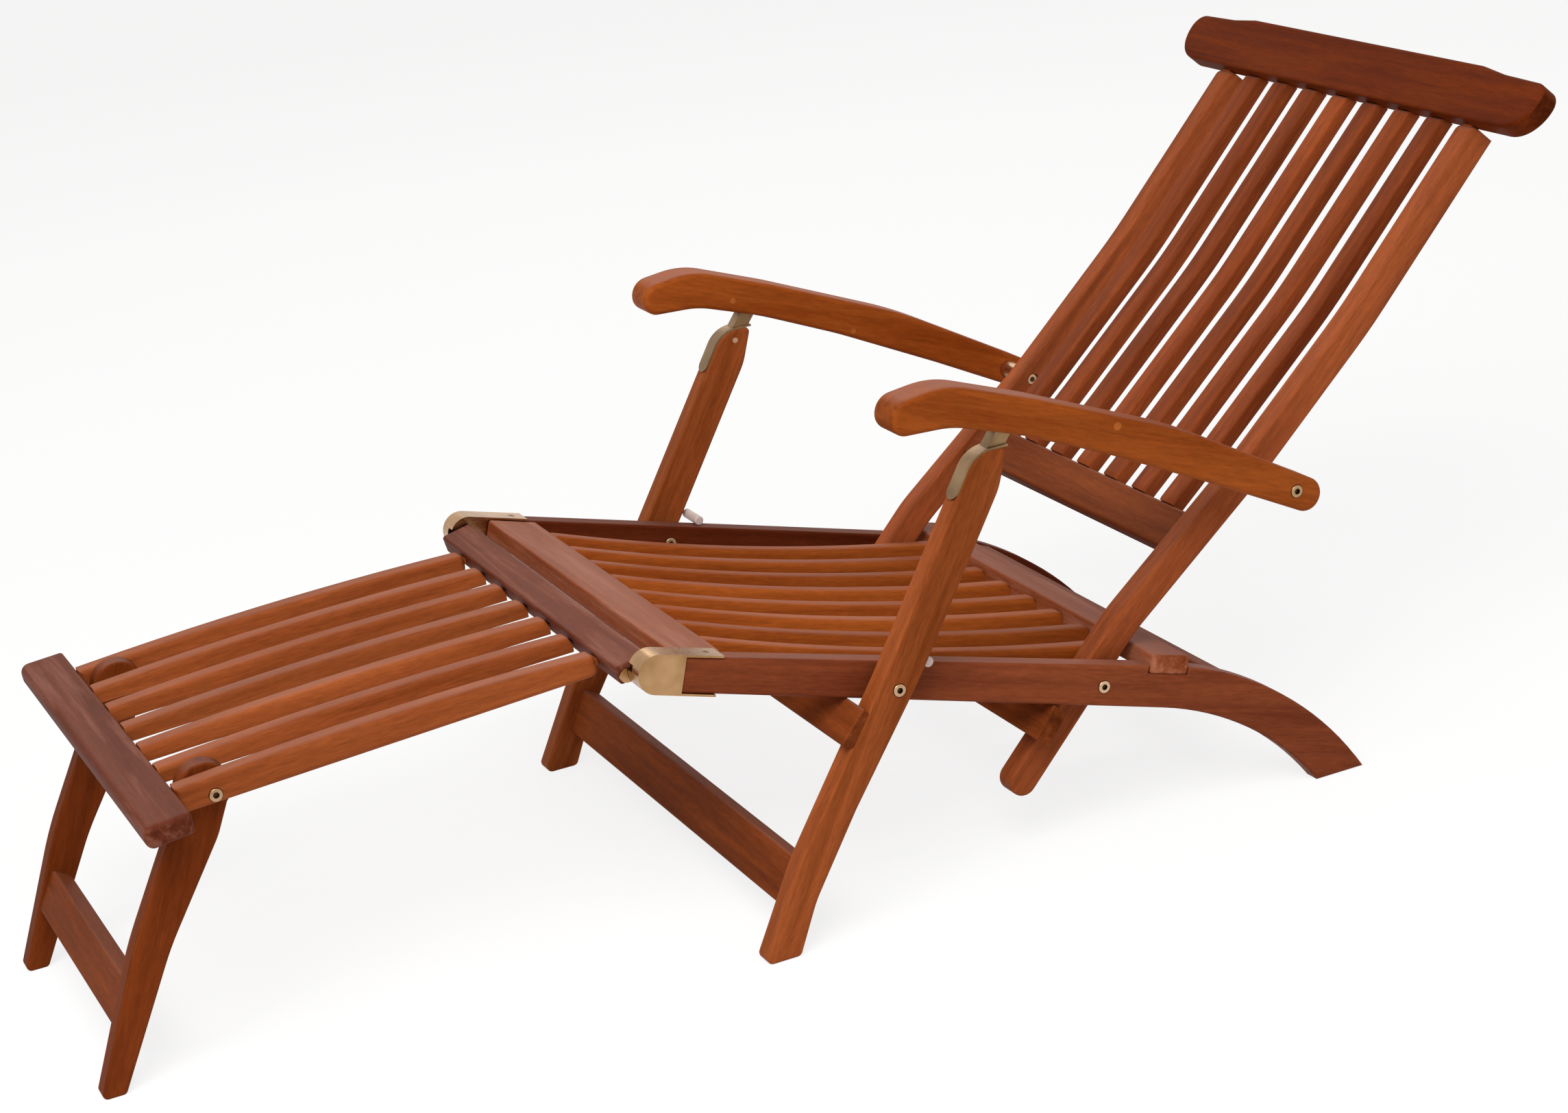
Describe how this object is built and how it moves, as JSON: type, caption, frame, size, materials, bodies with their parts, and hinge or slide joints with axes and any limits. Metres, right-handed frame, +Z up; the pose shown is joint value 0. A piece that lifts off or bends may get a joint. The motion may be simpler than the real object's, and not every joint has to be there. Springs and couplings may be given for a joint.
{
  "type": "steamer deck chair",
  "caption": "Folding deck chair in oiled hardwood: slatted back with a wide head rail, slatted seat, grooved arms, crossed front legs and a hinged slatted footrest with its own legs",
  "frame": {"origin": "on the floor under the middle of the chair's bounding box, footrest out", "axes": "+Z up; the footrest end is at -X and the head rail at +X, so the sitter faces -X; +Y is the sitter's right"},
  "size_m": [1.5198, 0.6296, 0.6688],
  "materials": {
    "rail_wood": "oiled",
    "leg_wood": "oiled",
    "arm_wood": "oiled",
    "back_wood": "oiled",
    "back_slat_wood": "oiled",
    "seat_wood": "oiled",
    "seat_slat_wood": "oiled",
    "footrest_wood": "oiled",
    "footrest_leg_wood": "oiled",
    "plug_wood": "oiled end grain",
    "brass_plate": "brushed, lightly tarnished",
    "brass_fasteners": "satin",
    "nylon": "matt translucent white"
  },
  "bodies": {
    "rail_frame": {"rail_left": "rail_wood", "rail_right": "rail_wood", "rear_cross_rail": "rail_wood", "hinge_caps": "brass_plate", "hinge_cap_screws": "brass_fasteners", "footrest_hinge_pins": "brass_fasteners", "pivot_bolts": "brass_fasteners", "pivot_spacers": "brass_fasteners"},
    "front_legs": {"front_leg_left": "leg_wood", "front_leg_right": "leg_wood", "leg_stop_bar": "leg_wood", "leg_stretcher": "leg_wood", "stop_bar_plugs": "plug_wood", "rail_pegs": "nylon", "leg_straps": "brass_plate", "strap_screws": "brass_fasteners", "leg_top_pins": "brass_fasteners"},
    "back": {"back_stile_left": "back_wood", "back_stile_right": "back_wood", "back_stop_bar": "back_wood", "back_cross_rail": "back_wood", "head_rail": "back_wood", "back_slat_1": "back_slat_wood", "back_slat_2": "back_slat_wood", "back_slat_3": "back_slat_wood", "back_slat_4": "back_slat_wood", "back_slat_5": "back_slat_wood", "back_slat_6": "back_slat_wood", "back_slat_7": "back_slat_wood", "arm_bolts": "brass_fasteners", "arm_spacers": "brass_fasteners"},
    "arm_left_body": {"arm_left": "arm_wood", "arm_pins_left": "plug_wood"},
    "arm_right_body": {"arm_right": "arm_wood", "arm_pins_right": "plug_wood"},
    "seat": {"seat_front_rail": "seat_wood", "seat_crossbar": "seat_wood", "seat_slat_1": "seat_slat_wood", "seat_slat_2": "seat_slat_wood", "seat_slat_3": "seat_slat_wood", "seat_slat_4": "seat_slat_wood", "seat_slat_5": "seat_slat_wood", "seat_slat_6": "seat_slat_wood", "seat_slat_7": "seat_slat_wood", "seat_slat_8": "seat_slat_wood", "seat_hinge_dowels": "seat_wood"},
    "footrest": {"footrest_inner_rail": "footrest_wood", "foot_end_rail": "footrest_wood", "footrest_slat_1": "footrest_wood", "footrest_slat_2": "footrest_wood", "footrest_slat_3": "footrest_wood", "footrest_slat_4": "footrest_wood", "footrest_slat_5": "footrest_wood", "footrest_slat_6": "footrest_wood", "footrest_slat_7": "footrest_wood", "footrest_hinge_lugs": "brass_plate", "footrest_leg_bolts": "brass_fasteners"},
    "footrest_legs": {"footrest_leg_left": "footrest_leg_wood", "footrest_leg_right": "footrest_leg_wood", "footrest_stretcher": "footrest_leg_wood"}
  },
  "joints": [
    {"name": "back_fold", "type": "hinge", "parent": "rail_frame", "child": "back", "pos_m": [0.23175, 0, 0.164], "axis": [0, -1, 0], "range_deg": [0, 90]},
    {"name": "leg_fold", "type": "hinge", "parent": "rail_frame", "child": "front_legs", "pos_m": [0.00075, 0, 0.233], "axis": [0, -1, 0], "range_deg": [0, 92.7]},
    {"name": "arm_left_swing", "type": "hinge", "parent": "back", "child": "arm_left_body", "pos_m": [0.43375, 0, 0.326], "axis": [0, -1, 0], "range_deg": [-65.7, 0]},
    {"name": "arm_right_swing", "type": "hinge", "parent": "back", "child": "arm_right_body", "pos_m": [0.43375, 0, 0.326], "axis": [0, -1, 0], "range_deg": [-65.7, 0]},
    {"name": "seat_lift", "type": "hinge", "parent": "rail_frame", "child": "seat", "pos_m": [-0.17558, 0, 0.29265], "axis": [0, -1, 0], "range_deg": [0, 1.8]},
    {"name": "footrest_fold", "type": "hinge", "parent": "rail_frame", "child": "footrest", "pos_m": [-0.22025, 0, 0.295], "axis": [0, 1, 0], "range_deg": [0, 70]},
    {"name": "footrest_leg_fold", "type": "hinge", "parent": "footrest", "child": "footrest_legs", "pos_m": [-0.61625, 0, 0.267], "axis": [0, -1, 0], "range_deg": [0, 100]}
  ],
  "couplings": [
    {"joint": "leg_fold", "follows": "back_fold", "ratio": 1.03},
    {"joint": "arm_left_swing", "follows": "back_fold", "ratio": -0.73},
    {"joint": "arm_right_swing", "follows": "back_fold", "ratio": -0.73}
  ]
}
